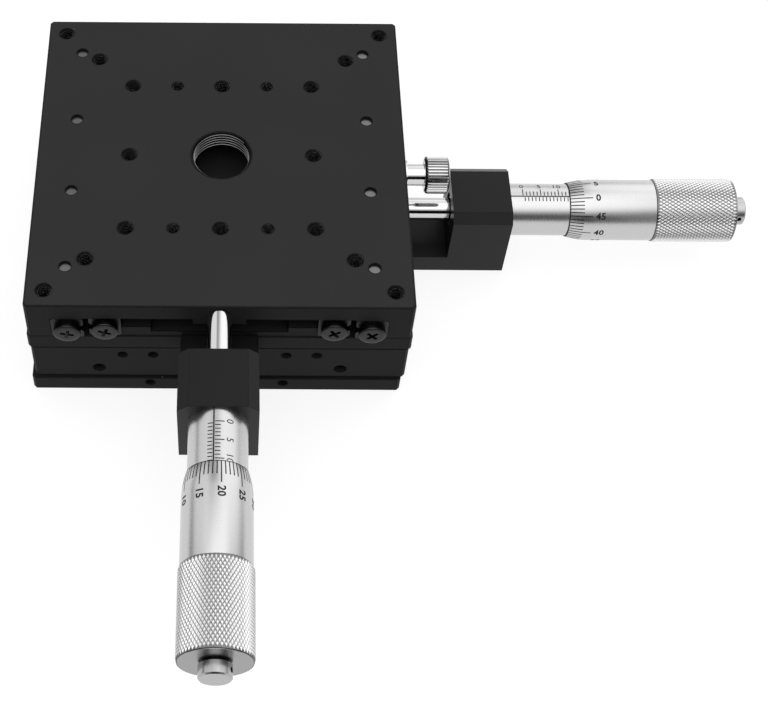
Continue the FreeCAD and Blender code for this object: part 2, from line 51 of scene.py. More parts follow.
# Both stages are alike: each table slides along its own y, and its micrometer points along -y.
# In the object that is the axis named here, towards the side named here.
stageHeight = 20.0
stages = {
    "x": {"turn": 90.0, "axis": 0, "side": 1, "shift": (0.0, 0.0, 0.0), "reading": 13.01, "tableShift": 0.9,
          "base": "lower_base", "table": "middle", "screw": "x_micrometer", "lock": "x_lock"},
    "y": {"turn": 0.0, "axis": 1, "side": -1, "reading": 10.68, "tableShift": 0.6,
          "base": "middle", "table": "top", "screw": "y_micrometer", "lock": "y_lock"},
}


def tableCentre(key):
    # where the table's middle stands at rest, in x and y
    stage = stages[key]
    centre = list(stage["shift"][:2])
    centre[stage["axis"]] += stage["side"] * stage["tableShift"]
    return centre


stages["y"]["shift"] = (*tableCentre("x"), stageHeight)   # the upper stage rides on the lower table


def stagePlace(key):
    stage = stages[key]
    turn = Matrix.Rotation(math.radians(stage["turn"]), 4, "Z")
    return Matrix.Translation(Vector(stage["shift"]) * mm) @ turn @ Matrix.Scale(mm, 4)


def axisPlace(key, outward, height, slide=0.0):
    # x runs outward along a turned part's axis, z stays up
    out = Vector(outward)
    side = Vector((0, 0, 1)).cross(out)
    turn = Matrix((out, side, (0, 0, 1))).transposed().to_4x4()
    return stagePlace(key) @ Matrix.Translation((0, -slide, height)) @ turn


# Node helpers

def addNode(tree, kind, feeds=None, **settings):
    node = tree.nodes.new(kind)
    for key, value in settings.items():
        setattr(node, key, value)
    for socket, source in (feeds or {}).items():
        if isinstance(source, bpy.types.NodeSocket):
            tree.links.new(source, node.inputs[socket])
        else:
            node.inputs[socket].default_value = source
    return node


def calc(tree, operation, first, second=0.0, clamp=False):
    feeds = {0: first} if second is None else {0: first, 1: second}
    return addNode(tree, "ShaderNodeMath", feeds, operation=operation, use_clamp=clamp).outputs[0]


# Finishes

def newFinish(name, metallic, colour):
    finish = bpy.data.materials.new(name)
    finish.use_nodes = True
    finish.diffuse_color = (*colour, 1)
    tree = finish.node_tree
    shader = tree.nodes["Principled BSDF"]
    shader.inputs["Metallic"].default_value = metallic
    place = addNode(tree, "ShaderNodeTexCoord").outputs["Object"]
    return finish, tree, shader, place


noiseSpan = (0.3, 0.7)   # noise seldom leaves this part of its range, so it is drawn out


def spread(tree, source, low, high):
    feeds = {"Value": source, "From Min": noiseSpan[0], "From Max": noiseSpan[1],
             "To Min": low, "To Max": high}
    return addNode(tree, "ShaderNodeMapRange", feeds).outputs[0]


def mixColour(tree, share, first, second):
    # first and second are colours or sockets
    feeds = {"Factor": share, 6: first, 7: second}
    for socket in (6, 7):
        if isinstance(feeds[socket], tuple):
            feeds[socket] = (*feeds[socket], 1)
    return addNode(tree, "ShaderNodeMix", feeds, data_type="RGBA").outputs[2]


def rangeShare(tree, source, dark, bright):
    # 0 where the source is at dark, 1 where it is at bright
    feeds = {"Value": source, "From Min": dark * mm, "From Max": bright * mm}
    return addNode(tree, "ShaderNodeMapRange", feeds).outputs[0]


# Painted shade along an edge, and a painted glint on the thread crests, starts where the rounded normal
# leaves the face by the first cosine and is full at the second. The painted light on the top fades in just
# under its level.
paintedEdgeBand = {"start": 0.985, "full": 0.90, "samples": 4}
litTopFade = {"from": 0.2, "to": 0.05}
grainDepth = 0.3      # bump height as a share of the grain's size
toolMark = 0.01       # bump height of turned lines


def anodised(name, look, litTopLook=None, level=0.0):
    finish, tree, shader, place = newFinish(name, 0.0, look["colour"])
    grain = addNode(tree, "ShaderNodeTexNoise",
                    {"Vector": place, "Scale": 1 / (look["grain"] * mm), "Detail": 3.0})
    cloud = addNode(tree, "ShaderNodeTexNoise",
                    {"Vector": place, "Scale": 1 / (look["cloud"] * mm), "Detail": 2.0})
    # specks of dust, in a few of the cells
    specks = addNode(tree, "ShaderNodeTexVoronoi",
                     {"Vector": place, "Scale": 1 / (look["speckCell"] * mm)})
    cellShade = addNode(tree, "ShaderNodeSeparateColor", {0: specks.outputs["Color"]}).outputs[0]
    chosen = calc(tree, "GREATER_THAN", cellShade, 1 - look["speckShare"])
    near = calc(tree, "LESS_THAN", specks.outputs["Distance"], look["speckSize"] / look["speckCell"])
    speck = calc(tree, "MULTIPLY", chosen, near)
    body = mixColour(tree, cloud.outputs["Fac"], look["colour"], look["paler"])
    if litTopLook:   # painted light: the top face is painted paler than the sides, as it is lit from above
        height = addNode(tree, "ShaderNodeSeparateXYZ", {0: place}).outputs[2]
        face = mixColour(tree, cloud.outputs["Fac"], litTopLook["colour"], litTopLook["paler"])
        share = rangeShare(tree, height, level - litTopFade["from"], level - litTopFade["to"])
        body = mixColour(tree, share, body, face)
    # painted shade along the edges, and a painted glint on the thread crests, where the rounded normal leaves
    # the face
    rounded = addNode(tree, "ShaderNodeBevel", {"Radius": look["edge"] * mm},
                      samples=paintedEdgeBand["samples"]).outputs[0]
    facing = addNode(tree, "ShaderNodeTexCoord").outputs["Normal"]
    flat = addNode(tree, "ShaderNodeVectorMath", {0: rounded, 1: facing}, operation="DOT_PRODUCT")
    paintedEdgeShare = addNode(tree, "ShaderNodeMapRange", {
        "Value": flat.outputs["Value"], "From Min": paintedEdgeBand["start"],
        "From Max": paintedEdgeBand["full"]}).outputs[0]
    paintedEdged = mixColour(tree, paintedEdgeShare, body, look["line"])
    tree.links.new(mixColour(tree, speck, paintedEdged, look["dust"]), shader.inputs["Base Color"])
    rough = spread(tree, cloud.outputs["Fac"], *look["roughness"])
    tree.links.new(rough, shader.inputs["Roughness"])
    bump = addNode(tree, "ShaderNodeBump",
                   {"Height": grain.outputs["Fac"], "Strength": look["bump"],
                    "Distance": look["grain"] * mm * grainDepth})
    tree.links.new(bump.outputs[0], shader.inputs["Normal"])
    shader.inputs["Specular IOR Level"].default_value = look["gloss"]
    return finish


def turnedMetal(name, look, axis, grooveShade=None, shadeFade=None):
    # fine tool lines run round the part, so the noise is drawn out across its axis
    finish, tree, shader, place = newFinish(name, 1.0, look["colour"])
    spot = addNode(tree, "ShaderNodeSeparateXYZ", {0: place}).outputs
    stretch = [1 / (look["lineLength"] * mm)] * 3
    stretch[axis] = 1 / (look["lineWidth"] * mm)
    lines = addNode(tree, "ShaderNodeTexNoise", {
        "Vector": addNode(tree, "ShaderNodeMapping", {"Vector": place, "Scale": stretch}).outputs[0],
        "Scale": 1.0, "Detail": 3.0})
    grain = addNode(tree, "ShaderNodeTexNoise",
                    {"Vector": place, "Scale": 1 / (look["grain"] * mm), "Detail": 2.0})
    height = calc(tree, "ADD", calc(tree, "MULTIPLY", lines.outputs["Fac"], look["lineShare"]),
                  calc(tree, "MULTIPLY", grain.outputs["Fac"], 1 - look["lineShare"]))
    bump = addNode(tree, "ShaderNodeBump",
                   {"Height": height, "Strength": look["bump"], "Distance": toolMark * mm})
    tree.links.new(bump.outputs[0], shader.inputs["Normal"])
    colour = mixColour(tree, grain.outputs["Fac"], look["colour"], look["duller"])
    if grooveShade:   # painted shade between the teeth, by the distance from the axis
        across = [calc(tree, "SUBTRACT", spot[index], centre * mm)
                  for index, centre in zip([i for i in range(3) if i != axis], grooveShade["centre"])]
        squares = [calc(tree, "MULTIPLY", side, side) for side in across]
        away = calc(tree, "SQRT", calc(tree, "ADD", *squares), None)
        share = rangeShare(tree, away, grooveShade["root"], grooveShade["top"])
        colour = mixColour(tree, share, (grooveShade["shade"],) * 3, colour)
    if shadeFade:   # painted shade on one side of a place on the axis
        share = rangeShare(tree, spot[axis], shadeFade["dark"], shadeFade["bright"])
        colour = mixColour(tree, share, (shadeFade["shade"],) * 3, colour)
    tree.links.new(colour, shader.inputs["Base Color"])
    tree.links.new(spread(tree, lines.outputs["Fac"], *look["roughness"]), shader.inputs["Roughness"])
    return finish


plateLook = {"colour": (0.0180, 0.0173, 0.0180), "paler": (0.0225, 0.0217, 0.0225),
             "dust": (0.30, 0.30, 0.29), "edge": 0.6, "grain": 0.16, "cloud": 30.0, "bump": 0.35,
             "roughness": (0.40, 0.50), "gloss": 0.02, "line": (0.0015, 0.0015, 0.0015),
             "speckCell": 7.0, "speckSize": 0.11, "speckShare": 0.10}
# painted light: the top plate's upper face is painted paler than its sides, for the light from above
paintedLitTopLook = {"colour": (0.0290, 0.0277, 0.0290), "paler": (0.0340, 0.0326, 0.0340)}
# painted shade: the threads are painted far darker than the plate's own anodising, for the shade inside the
# holes, with a painted glint along their crests
threadShadeGlintLook = dict(plateLook, colour=(0.0022, 0.0021, 0.0022), paler=(0.0030, 0.0029, 0.0030),
                  line=(0.26, 0.255, 0.26), edge=0.06, roughness=(0.28, 0.36), gloss=0.04)
bracketLook = dict(plateLook, colour=(0.0095, 0.0092, 0.0095), paler=(0.0120, 0.0116, 0.0120),
                   roughness=(0.26, 0.34), gloss=0.14)
steelLook = {"colour": (0.030, 0.030, 0.031), "duller": (0.018, 0.018, 0.019), "roughness": (0.30, 0.42),
             "lineWidth": 0.08, "lineLength": 6.0, "lineShare": 0.6, "grain": 0.2, "bump": 0.3}
satinLook = {"colour": (0.58, 0.575, 0.58), "duller": (0.52, 0.515, 0.52), "roughness": (0.25, 0.31),
             "lineWidth": 0.05, "lineLength": 5.0, "lineShare": 0.5, "grain": 0.12, "bump": 0.20}
brightLook = dict(satinLook, colour=(0.66, 0.655, 0.66), duller=(0.60, 0.60, 0.60),
                  roughness=(0.08, 0.14), bump=0.12)
capLook = dict(satinLook, colour=(0.45, 0.445, 0.45), duller=(0.38, 0.375, 0.38), roughness=(0.20, 0.28))
rollerLook = dict(satinLook, colour=(0.58, 0.58, 0.59), duller=(0.52, 0.52, 0.53), roughness=(0.15, 0.22))
wireLook = dict(satinLook, colour=(0.45, 0.45, 0.46), duller=(0.36, 0.36, 0.37), roughness=(0.22, 0.32))
brassLook = dict(satinLook, colour=(0.60, 0.43, 0.17), duller=(0.50, 0.36, 0.14), roughness=(0.26, 0.36))
screwLook = {"colour": (0.038, 0.038, 0.039), "duller": (0.022, 0.022, 0.023), "roughness": (0.24, 0.34),
             "lineWidth": 0.1, "lineLength": 3.0, "lineShare": 0.3, "grain": 0.15, "bump": 0.25}
railScrewLook = dict(screwLook, colour=(0.22, 0.22, 0.225), duller=(0.15, 0.15, 0.155))
# painted highlight: grey metal on the crests of the centre thread, which is anodised like the plate
crestGlintLook = dict(screwLook, colour=(0.28, 0.275, 0.28), duller=(0.20, 0.20, 0.205))
# painted light: the grip is the thimble's own chrome, painted lighter for the light that its teeth catch
litKnurlLook = dict(satinLook, colour=(0.80, 0.795, 0.80), duller=(0.72, 0.715, 0.72), roughness=(0.24, 0.32))
inkLook = {"colour": (0.006, 0.006, 0.0065), "paler": (0.010, 0.010, 0.0105), "dust": (0.02, 0.02, 0.021),
           "line": (0.006, 0.006, 0.0065), "edge": 0.02, "grain": 0.05, "cloud": 2.0, "bump": 0.1,
           "roughness": (0.5, 0.6), "gloss": 0.3, "speckCell": 5.0, "speckSize": 0.01,
           "speckShare": 0.01}

finishes = {
    "anodised_plate": anodised("anodisedPlate", plateLook),
    "anodised_bracket": anodised("anodisedBracket", bracketLook),
    "guide_steel": turnedMetal("guideSteel", steelLook, 2),
    "roller_steel": turnedMetal("rollerSteel", rollerLook, 2),
    "cage_brass": turnedMetal("cageBrass", brassLook, 2),
    "black_screw": turnedMetal("blackScrew", screwLook, 2),
    "spring_wire": turnedMetal("springWire", wireLook, 2),
    "pad_brass": turnedMetal("padBrass", brassLook, 0),
}
# the top plate's finish, with painted light on its upper face
paintedLitTop = anodised("paintedLitTop", plateLook, paintedLitTopLook, 2 * stageHeight)
railScrew = turnedMetal("railScrew", railScrewLook, 2)
# the threads of the small holes: painted shade, with a painted glint along the crests
thread = anodised("thread", threadShadeGlintLook)
ink = anodised("engravedInk", inkLook)
brightChrome = {key: turnedMetal("brightChrome" + key.upper(), brightLook, stage["axis"])
                for key, stage in stages.items()}   # by the axis that the part is turned about
print("plain finishes done")


# Meshes

mergeDistance = 1e-5      # doubles closer than this, in millimetres, become one
quarterRound = (0.0, 0.4, 0.8, 1.2, math.pi / 2)
coarseRound = (0.0, 0.5, 1.0, math.pi / 2)


def placePiece(mesh, name, place, body, finish, sharpAngle=32, stands=()):
    # the place goes into the mesh, so the object stays at the origin
    mesh.transform(place)
    for face in mesh.polygons:
        face.use_smooth = True
    mesh.set_sharp_from_angle(angle=math.radians(sharpAngle))
    mesh.materials.clear()
    mesh.materials.append(finish)
    mesh.update()
    piece = bpy.data.objects.new(name, mesh)
    bpy.context.scene.collection.objects.link(piece)
    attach(piece, body)
    if stands:
        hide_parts(*stands)
    return piece


def rawMesh(shell, name):
    mesh = bpy.data.meshes.new(name)
    shell.to_mesh(mesh)
    shell.free()
    return mesh


def meshFrom(shell, name):
    bmesh.ops.remove_doubles(shell, verts=shell.verts, dist=mergeDistance)
    bmesh.ops.recalc_face_normals(shell, faces=shell.faces)
    return rawMesh(shell, name)


def lathe(name, outline, segments=96):
    # outline of (distance, radius) about x; a radius of 0 closes the part on its axis
    shell = bmesh.new()
    rings = []
    for distance, radius in outline:
        if radius == 0:
            rings.append([shell.verts.new((distance, 0, 0))] * segments)
            continue
        angles = [2 * math.pi * step / segments for step in range(segments)]
        rings.append([shell.verts.new((distance, radius * math.sin(a), radius * math.cos(a)))
                      for a in angles])
    hollow = outline[0][1] > 0
    for first, second in zip(rings, rings[1:] + (rings[:1] if hollow else [])):
        for step in range(segments):
            corners = [first[step - 1], first[step], second[step], second[step - 1]]
            kept = list(dict.fromkeys(corners))
            if len(kept) > 2:
                shell.faces.new(kept)
    return meshFrom(shell, name)


def newHost(mesh, name="host"):
    host = bpy.data.objects.new(name, mesh)
    bpy.context.scene.collection.objects.link(host)
    return host


def plainMesh(host):
    depsgraph = bpy.context.evaluated_depsgraph_get()
    mesh = bpy.data.meshes.new_from_object(host.evaluated_get(depsgraph), depsgraph=depsgraph)
    bpy.data.objects.remove(host)
    return mesh


def carved(host, cutter, crossing=False):
    carve = host.modifiers.new("carve", "BOOLEAN")
    carve.operation = "DIFFERENCE"
    carve.solver = "EXACT"
    carve.object = cutter
    carve.use_self = crossing
    mesh = plainMesh(host)
    bpy.data.objects.remove(cutter)
    return mesh


def grow(tree, settings, start=None):
    host = newHost(start or bpy.data.meshes.new("start"))
    modifier = host.modifiers.new("grow", "NODES")
    modifier.node_group = tree
    for item in tree.interface.items_tree:
        if item.item_type == "SOCKET" and item.in_out == "INPUT" and item.name in settings:
            modifier[item.identifier] = settings[item.name]
    return plainMesh(host)


# Node trees for what repeats

def newTree(name, sockets):
    tree = bpy.data.node_groups.new(name, "GeometryNodeTree")
    tree.interface.new_socket("Geometry", in_out="INPUT", socket_type="NodeSocketGeometry")
    for socket, kind in sockets.items():
        tree.interface.new_socket(socket, in_out="INPUT", socket_type="NodeSocket" + kind)
    tree.interface.new_socket("Geometry", in_out="OUTPUT", socket_type="NodeSocketGeometry")
    return tree, tree.nodes.new("NodeGroupInput").outputs, tree.nodes.new("NodeGroupOutput").inputs


def endTree(tree, geometry, finish, end):
    real = addNode(tree, "GeometryNodeRealizeInstances", {0: geometry}).outputs[0]
    painted = addNode(tree, "GeometryNodeSetMaterial", {"Geometry": real, "Material": finish})
    tree.links.new(painted.outputs[0], end[0])


wrapSockets = {"Radius": "Float", "Flare Length": "Float", "Flare Rise": "Float"}


def barrelWrapTree():
    # bends a flat drawing round the barrel: x runs along it, y round it, z outward
    tree, start, end = newTree("barrelWrap", wrapSockets)
    flat = addNode(tree, "ShaderNodeSeparateXYZ",
                   {0: addNode(tree, "GeometryNodeInputPosition").outputs[0]}).outputs
    short = calc(tree, "SUBTRACT", 1.0, calc(tree, "DIVIDE", flat[0], start["Flare Length"], clamp=True))
    drop = calc(tree, "MULTIPLY", start["Flare Rise"], calc(tree, "MULTIPLY", short, short))
    radius = calc(tree, "ADD", calc(tree, "SUBTRACT", start["Radius"], drop), flat[2])
    angle = calc(tree, "DIVIDE", flat[1], start["Radius"])
    bent = addNode(tree, "ShaderNodeCombineXYZ", {
        0: flat[0],
        1: calc(tree, "MULTIPLY", radius, calc(tree, "SINE", angle, None)),
        2: calc(tree, "MULTIPLY", radius, calc(tree, "COSINE", angle, None))}).outputs[0]
    moved = addNode(tree, "GeometryNodeSetPosition", {"Geometry": start["Geometry"], "Position": bent})
    tree.links.new(moved.outputs[0], end[0])
    return tree


barrelWrap = barrelWrapTree()


def wrapNode(tree, geometry, start):
    feeds = {"Geometry": geometry}
    feeds.update({socket: start[socket] for socket in wrapSockets})
    group = tree.nodes.new("GeometryNodeGroup")
    group.node_tree = barrelWrap
    for socket, source in feeds.items():
        tree.links.new(source, group.inputs[socket])
    return group.outputs[0]


def barrelMarksTree():
    sockets = {"Count": "Int", "Mark Size": "Vector", "First Mark": "Vector", "Step": "Vector",
               "Finish": "Material"}
    tree, start, end = newTree("barrelMarks", {**sockets, **wrapSockets})   # points along x or round it
    places = addNode(tree, "GeometryNodeMeshLine", {
        "Count": start["Count"], "Start Location": start["First Mark"], "Offset": start["Step"]})
    mark = addNode(tree, "GeometryNodeMeshCube", {"Size": start["Mark Size"], "Vertices X": 5,
                                                  "Vertices Y": 5, "Vertices Z": 2})
    marks = addNode(tree, "GeometryNodeInstanceOnPoints",
                    {"Points": places.outputs[0], "Instance": mark.outputs[0]})
    real = addNode(tree, "GeometryNodeRealizeInstances", {0: marks.outputs[0]}).outputs[0]
    endTree(tree, wrapNode(tree, real, start), start["Finish"], end)
    return tree


def barrelNumeralsTree():
    tree, start, end = newTree("barrelNumerals", {**wrapSockets, "Finish": "Material"})
    endTree(tree, wrapNode(tree, start["Geometry"], start), start["Finish"], end)
    return tree


def toothRingTree():
    # teeth in rings about x, every other ring turned by half a step
    sockets = {"Tooth": "Object", "Around": "Int", "Rings": "Int", "First Ring": "Float",
               "Ring Step": "Float", "Radius": "Float", "Finish": "Material"}
    tree, start, end = newTree("toothRing", sockets)
    count = calc(tree, "MULTIPLY", start["Around"], start["Rings"])
    points = addNode(tree, "GeometryNodeMeshLine", {"Count": count, "Offset": (0, 0, 0)})
    index = addNode(tree, "GeometryNodeInputIndex").outputs[0]
    ring = calc(tree, "FLOOR", calc(tree, "DIVIDE", index, start["Around"]), None)
    odd = calc(tree, "MULTIPLY", calc(tree, "MODULO", ring, 2.0), 0.5)
    step = calc(tree, "DIVIDE", calc(tree, "ADD", index, odd), start["Around"])
    angle = calc(tree, "MULTIPLY", step, 2 * math.pi)
    along = calc(tree, "ADD", start["First Ring"], calc(tree, "MULTIPLY", ring, start["Ring Step"]))
    spot = addNode(tree, "ShaderNodeCombineXYZ", {0: along}).outputs[0]
    spots = addNode(tree, "GeometryNodeSetPosition", {"Geometry": points.outputs[0], "Position": spot})
    tooth = addNode(tree, "GeometryNodeObjectInfo", {"Object": start["Tooth"]}).outputs["Geometry"]
    lift = addNode(tree, "ShaderNodeCombineXYZ", {2: start["Radius"]}).outputs[0]
    raised = addNode(tree, "GeometryNodeTransform", {"Geometry": tooth, "Translation": lift})
    turn = addNode(tree, "ShaderNodeCombineXYZ", {0: angle}).outputs[0]
    teeth = addNode(tree, "GeometryNodeInstanceOnPoints", {
        "Points": spots.outputs[0], "Instance": raised.outputs[0], "Rotation": turn})
    endTree(tree, teeth.outputs[0], start["Finish"], end)
    return tree


def repeatTree():
    # one shape at every point of the start mesh, turned about z by the point's own angle
    tree, start, end = newTree("repeatAtPoints", {"Shape": "Object", "Finish": "Material"})
    shape = addNode(tree, "GeometryNodeObjectInfo", {"Object": start["Shape"]}).outputs["Geometry"]
    angle = addNode(tree, "GeometryNodeInputNamedAttribute", {"Name": "turn"}, data_type="FLOAT")
    turn = addNode(tree, "ShaderNodeCombineXYZ", {2: angle.outputs[0]}).outputs[0]
    shapes = addNode(tree, "GeometryNodeInstanceOnPoints", {
        "Points": start["Geometry"], "Instance": shape, "Rotation": turn})
    endTree(tree, shapes.outputs[0], start["Finish"], end)
    return tree


helixSockets = {"Radius": "Float", "Pitch": "Float", "Length": "Float", "Turn Steps": "Int",
                "Finish": "Material"}
threadShares = {"inset": 0.25, "depth": 0.60, "foot": 0.86, "crest": 0.16}   # of the pitch


def sweepHelix(tree, start, end, radius, section):
    # the section follows a helix about z
    turns = calc(tree, "DIVIDE", start["Length"], start["Pitch"])
    helix = addNode(tree, "GeometryNodeCurveSpiral", {
        "Resolution": start["Turn Steps"], "Rotations": turns, "Start Radius": radius,
        "End Radius": radius, "Height": start["Length"]})
    upright = addNode(tree, "GeometryNodeSetCurveNormal", {"Curve": helix.outputs[0]}, mode="Z_UP")
    swept = addNode(tree, "GeometryNodeCurveToMesh", {
        "Curve": upright.outputs[0], "Profile Curve": section, "Fill Caps": True})
    endTree(tree, swept.outputs[0], start["Finish"], end)


def coilTree():
    tree, start, end = newTree("coil", {**helixSockets, "Wire": "Float", "Sides": "Int"})
    section = addNode(tree, "GeometryNodeCurvePrimitiveCircle",
                      {"Resolution": start["Sides"], "Radius": start["Wire"]})
    sweepHelix(tree, start, end, start["Radius"], section.outputs[0])
    return tree


def threadTree():
    # the ridge of a tapped hole: wide at the wall, narrow at its crest
    tree, start, end = newTree("thread", helixSockets)
    size = {part: calc(tree, "MULTIPLY", start["Pitch"], share) for part, share in threadShares.items()}
    section = addNode(tree, "GeometryNodeCurvePrimitiveQuadrilateral", {
        "Height": size["depth"], "Bottom Width": size["foot"], "Top Width": size["crest"],
        "Offset": 0.0}, mode="TRAPEZOID")
    inward = addNode(tree, "GeometryNodeTransform",
                     {"Geometry": section.outputs[0], "Rotation": (0, 0, -math.pi / 2)})
    middle = calc(tree, "SUBTRACT", start["Radius"], size["inset"])
    sweepHelix(tree, start, end, middle, inward.outputs[0])
    return tree


barrelMarks = barrelMarksTree()
barrelNumerals = barrelNumeralsTree()
toothRing = toothRingTree()
repeatAtPoints = repeatTree()
coil = coilTree()
threadRidge = threadTree()
print("node trees built")


def pointMesh(places, turns=None):
    mesh = bpy.data.meshes.new("points")
    mesh.from_pydata([Vector(place) for place in places], [], [])
    angles = mesh.attributes.new("turn", "FLOAT", "POINT")
    angles.data.foreach_set("value", [math.radians(t) for t in (turns or [0] * len(places))])
    return mesh


def joinMeshes(name, meshes):
    shell = bmesh.new()
    for mesh in meshes:
        shell.from_mesh(mesh)
        bpy.data.meshes.remove(mesh)
    return rawMesh(shell, name)


# Micrometers: graduated sleeve, thimble with a flared edge and a diamond grip

barrel = {"height": 16.0, "zeroLine": 85.5, "face": 82.0, "sleeveRadius": 7.35, "datumAngle": -7.6,
          "lead": 0.5, "numeralEvery": 5}
sleeveMarks = {"depth": 0.05, "proud": 0.012, "width": 0.27, "datumWidth": 0.36, "datumSpare": 3.5,
               "gap": 0.30, "short": 1.35, "long": 2.30, "halfLength": 1.2, "range": 25,
               "numeralSize": 2.55, "numeralFrom": 3.0,
               "digitBack": 0.32, "digitMiddle": 0.36}   # shares of the numeral's size
thimble = {"length": 46.6, "radius": 8.6, "boreRadius": 7.45, "edgeRadius": 7.6, "flare": 7.0,
           "flareSteps": 12, "segments": 128, "shoulder": 24.12, "shoulderRound": 0.15,
           "shoulderStep": 0.1, "grip": 24.2, "gripRadius": 8.95, "gripShort": 0.20,
           "coreWall": 0.3, "coreSkin": 0.29, "coreFrom": 0.01, "coreShort": 0.1, "endRadius": 8.5,
           "endChamfer": (0.08, 0.05), "boreDepth": 40.0, "seatRadius": 3.175, "toothHeight": 0.24,
           "toothSunk": 0.06, "around": 57, "rings": 26, "toothTop": 0.46, "marks": 50,
           "markFrom": 0.12, "shortMark": 3.8, "longMark": 6.1, "markWidth": 0.31,
           "numeralFrom": 7.1, "numeralSize": 2.7, "numeralBold": 0.08, "rimShadowWidth": 0.22,
           "rimGap": 0.01}
cap = {"height": 3.8, "radius": 3.95, "chamfer": 0.35, "neck": 0.5, "neckRadius": 3.1, "sunk": 0.5,
       "lip": 0.1, "pinHole": 0.65, "pinHoleSides": 32, "holeAt": 2.1,
       "turn": {"x": -76.0, "y": 68.0}}   # from upright towards the stage's x
numeral = {"thick": 0.03, "sunk": 0.01, "spacing": 1.05, "curveSteps": 3, "slice": 0.2, "slices": 6}

# Where a finish fades to painted shade along the barrel (on the thimble's end face, the cap's neck, the
# grip's end), measured from the thimble's end, and where painted shade lies between the teeth, measured down
# from their tips
shadeFades = {"face": {"dark": 0.0, "bright": -0.05, "shade": {"x": 0.30, "y": 0.30}},
         "neck": {"dark": cap["neck"] - 0.03, "bright": cap["neck"] + 0.03,
                  "shade": {"x": 0.012, "y": 0.012}},
         "gripEnd": {"dark": -0.16, "bright": -0.33, "shade": {"x": 0.35, "y": 0.015}}}
gripGrooveShade = {"root": 0.25, "top": 0.12, "shade": 0.15}


def grooveAt(centre, radius, grooveShade):
    return {"centre": centre, "root": radius - grooveShade["root"], "top": radius - grooveShade["top"],
            "shade": grooveShade["shade"]}


def barrelFinish(name, look, key, shadeFade, grooveShaded=False):
    stage = stages[key]
    end = barrel["zeroLine"] + stage["reading"] + thimble["length"]
    spots = {spot: stage["side"] * (end + shadeFade[spot]) for spot in ("dark", "bright")}
    centre = (stage["shift"][1 - stage["axis"]], stage["shift"][2] + barrel["height"])
    grooveShade = grooveAt(centre, thimble["gripRadius"], gripGrooveShade) if grooveShaded else None
    return turnedMetal(name + key.upper(), look, stage["axis"], grooveShade=grooveShade,
                       shadeFade={**spots, "shade": shadeFade["shade"][key]})


# painted shade on the thimble's end face, on the cap's neck and at the grip's end
satinChrome = {key: barrelFinish("satinChrome", satinLook, key, shadeFades["face"]) for key in stages}
capChrome = {key: barrelFinish("capChrome", capLook, key, shadeFades["neck"]) for key in stages}
# the grip: painted light on the chrome, painted shade between the teeth and at the grip's end
knurled = {key: barrelFinish("knurled", litKnurlLook, key, shadeFades["gripEnd"], True) for key in stages}


def numeralMesh(text, size, bold, along, around):
    letters = bpy.data.curves.new("letters", "FONT")
    letters.body = text
    letters.size = size
    letters.offset = bold
    letters.extrude = numeral["thick"]
    letters.align_x = "LEFT"
    letters.align_y = "CENTER"
    letters.resolution_u = numeral["curveSteps"]
    letters.space_character = numeral["spacing"]
    mesh = plainMesh(newHost(letters, "letters"))
    shell = bmesh.new()
    shell.from_mesh(mesh)
    bmesh.ops.remove_doubles(shell, verts=shell.verts, dist=mergeDistance)
    for step in range(-numeral["slices"], numeral["slices"] + 1):   # cut across, so that it can bend
        everything = shell.verts[:] + shell.edges[:] + shell.faces[:]
        bmesh.ops.bisect_plane(shell, geom=everything, plane_co=(0, step * numeral["slice"], 0),
                               plane_no=(0, 1, 0))
    for vertex in shell.verts:
        vertex.co += Vector((along, around, -numeral["sunk"]))
    shell.to_mesh(mesh)
    shell.free()
    return mesh


def sleeveGraduation(key):
    marks = sleeveMarks
    radius = barrel["sleeveRadius"]
    wrap = {"Radius": radius, "Flare Length": 1.0, "Flare Rise": 0.0, "Finish": ink}   # no flare here
    datum = radius * math.radians(barrel["datumAngle"])
    depth = marks["depth"]
    lift = marks["proud"] - depth / 2
    zero = barrel["zeroLine"]
    every = barrel["numeralEvery"]

    def rowOfMarks(count, length, first, step, side):
        middle = datum + side * (marks["gap"] + length / 2)
        return grow(barrelMarks, {**wrap, "Count": count, "Mark Size": (marks["width"], length, depth),
                                  "First Mark": (first, middle, lift), "Step": (step, 0.0, 0.0)})

    lineLength = marks["range"] + marks["datumSpare"]
    parts = [grow(barrelMarks, {**wrap, "Count": 1, "Mark Size": (lineLength, marks["datumWidth"], depth),
                                "First Mark": (barrel["face"] + lineLength / 2, datum, lift),
                                "Step": (0.0, 0.0, 0.0)}),
             rowOfMarks(marks["range"] + 1, marks["short"], zero, 1.0, 1),
             rowOfMarks(marks["range"] // every + 1, marks["long"], zero, float(every), 1),
             rowOfMarks(marks["range"], marks["halfLength"], zero + 0.5, 1.0, -1)]
    size = marks["numeralSize"]
    for value in range(0, marks["range"] + 1, every):
        digits = str(value)
        back = marks["digitBack"] * size * len(digits)
        flat = numeralMesh(digits, size, 0.0, zero + value - back,
                           datum + marks["numeralFrom"] + size * marks["digitMiddle"])
        parts.append(grow(barrelNumerals, wrap, flat))
    placePiece(joinMeshes("graduation", parts), key + "SleeveGraduation",
               axisPlace(key, (0, -1, 0), barrel["height"]), stages[key]["base"], ink)


def diamondTooth(settings, halfLong):
    # a flat-topped pyramid on a diamond foot
    halfRound = math.pi * (settings["gripRadius"] - settings["toothHeight"]) / settings["around"]
    shell = bmesh.new()
    rings = []
    for scale, height in ((1.0, -settings["toothSunk"]), (1.0, 0.0),
                          (settings["toothTop"], settings["toothHeight"])):
        corners = ((halfLong, 0), (0, halfRound), (-halfLong, 0), (0, -halfRound))
        rings.append([shell.verts.new((x * scale, y * scale, height)) for x, y in corners])
    for low, high in zip(rings, rings[1:]):
        for step in range(4):
            shell.faces.new((low[step - 1], low[step], high[step], high[step - 1]))
    shell.faces.new(rings[0])
    shell.faces.new(rings[-1])
    return newHost(meshFrom(shell, "diamondTooth"), "diamondTooth")


